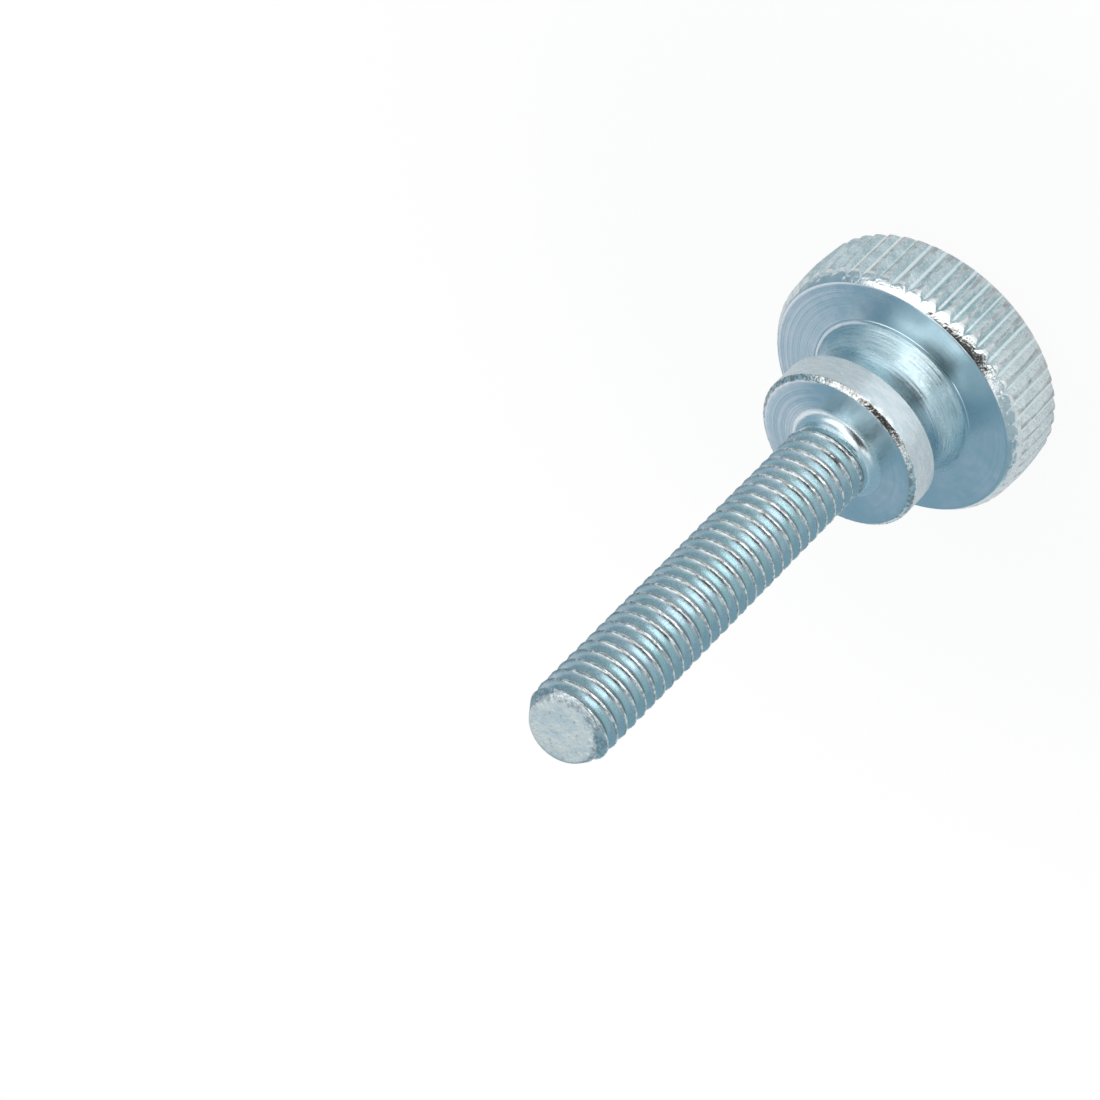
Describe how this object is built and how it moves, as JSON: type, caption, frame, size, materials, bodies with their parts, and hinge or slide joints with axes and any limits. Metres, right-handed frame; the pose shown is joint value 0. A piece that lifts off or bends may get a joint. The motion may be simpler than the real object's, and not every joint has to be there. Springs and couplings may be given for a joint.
{
  "type": "knurled thumb screw",
  "caption": "High-form thumb screw with a straight-knurled round head, a waisted neck, a seating collar and a long threaded shank, in bright zinc-plated steel.",
  "frame": {"origin": "centre of the head's outer face, on which the screw stands", "axes": "+Z along the screw's axis, from the head to the end of the shank; the sheared end face is lowest towards -Y"},
  "size_m": [0.02, 0.02, 0.0433],
  "materials": {
    "zinc_plated_steel": "bright blue-white zinc plate with turning marks"
  },
  "bodies": {
    "root": {"thumb_screw": "zinc_plated_steel"}
  },
  "joints": []
}
